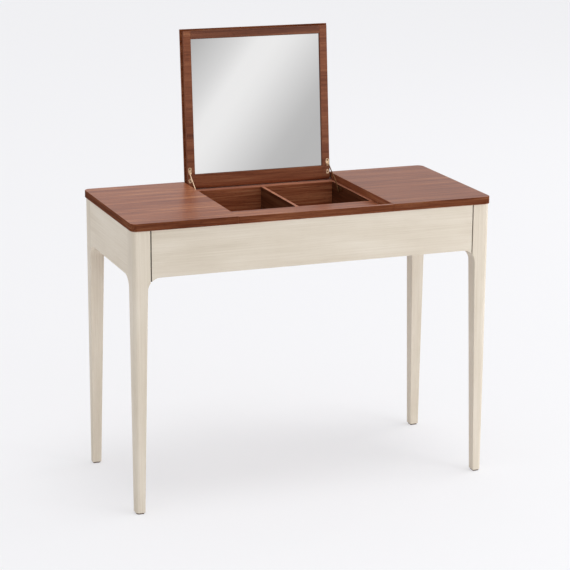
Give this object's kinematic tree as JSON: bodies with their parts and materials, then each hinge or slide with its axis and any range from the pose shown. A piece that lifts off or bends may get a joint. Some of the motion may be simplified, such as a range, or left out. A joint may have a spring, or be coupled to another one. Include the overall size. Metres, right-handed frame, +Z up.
{
  "type": "flip top vanity table",
  "caption": "Vanity table with a flip-up mirror lid over a divided storage well, on tapered legs joined to arched aprons.",
  "frame": {"origin": "on the floor, midway across the width and midway between the front of the top and the rearmost edge of the open lid", "axes": "+X to the right seen from the front, +Y to the back, +Z up"},
  "size_m": [1, 0.4868, 1.1894],
  "materials": {
    "walnut": "satin lacquered walnut veneer",
    "dark_walnut": "satin dark walnut",
    "cream_paint": "cream paint over open-grained wood, eggshell",
    "raw_wood": "unfinished beech",
    "mirror": "silvered glass",
    "backing_board": "hardboard",
    "brass": "brushed brass",
    "steel": "zinc plated",
    "foot_rubber": "matte dark brown"
  },
  "bodies": {
    "table": {"left_top_panel": "walnut", "right_top_panel": "walnut", "front_lip": "walnut", "front_ledge": "walnut", "back_ledge": "walnut", "well_left_wall": "dark_walnut", "well_right_wall": "dark_walnut", "well_front_wall": "dark_walnut", "well_back_wall": "dark_walnut", "well_divider": "dark_walnut", "well_floor": "dark_walnut", "front_left_leg": "cream_paint", "front_right_leg": "cream_paint", "back_left_leg": "cream_paint", "back_right_leg": "cream_paint", "front_apron": "cream_paint", "back_apron": "cream_paint", "left_apron": "cream_paint", "right_apron": "cream_paint", "corner_blocks": "raw_wood", "hanger_bolts": "steel", "hanger_washers": "steel", "hanger_nuts": "steel", "apron_dowels": "raw_wood", "top_screws": "steel", "ledge_screws": "steel", "foot_pads": "foot_rubber", "hinge_pins": "brass", "left_stay_bracket": "brass", "right_stay_bracket": "brass", "bracket_screws": "brass"},
    "lid": {"lid_panel": "walnut", "lid_left_stile": "walnut", "lid_right_stile": "walnut", "lid_top_rail": "walnut", "lid_hinge_rail": "walnut", "mirror_backing": "backing_board", "mirror_glass": "mirror", "left_stay_leaf": "brass", "right_stay_leaf": "brass", "hinge_plates": "brass", "leaf_screws": "brass", "stay_pins": "brass"},
    "left_stay_arm": {"left_stay_arm": "brass"},
    "right_stay_arm": {"right_stay_arm": "brass"}
  },
  "joints": [
    {"name": "lid_hinge", "type": "hinge", "parent": "table", "child": "lid", "pos_m": [0, 0.1966, 0.7653], "axis": [1, 0, 0], "range_deg": [0, 95]},
    {"name": "left_stay_pivot", "type": "hinge", "parent": "lid", "child": "left_stay_arm", "pos_m": [-0.2048, 0.18542, 0.80041], "axis": [1, 0, 0], "range_deg": [-125, 0]},
    {"name": "right_stay_pivot", "type": "hinge", "parent": "lid", "child": "right_stay_arm", "pos_m": [0.2048, 0.18542, 0.80041], "axis": [1, 0, 0], "range_deg": [-125, 0]}
  ],
  "couplings": [
    {"joint": "left_stay_pivot", "follows": "lid_hinge", "ratio": -1.3115},
    {"joint": "right_stay_pivot", "follows": "lid_hinge", "ratio": -1.3115}
  ]
}
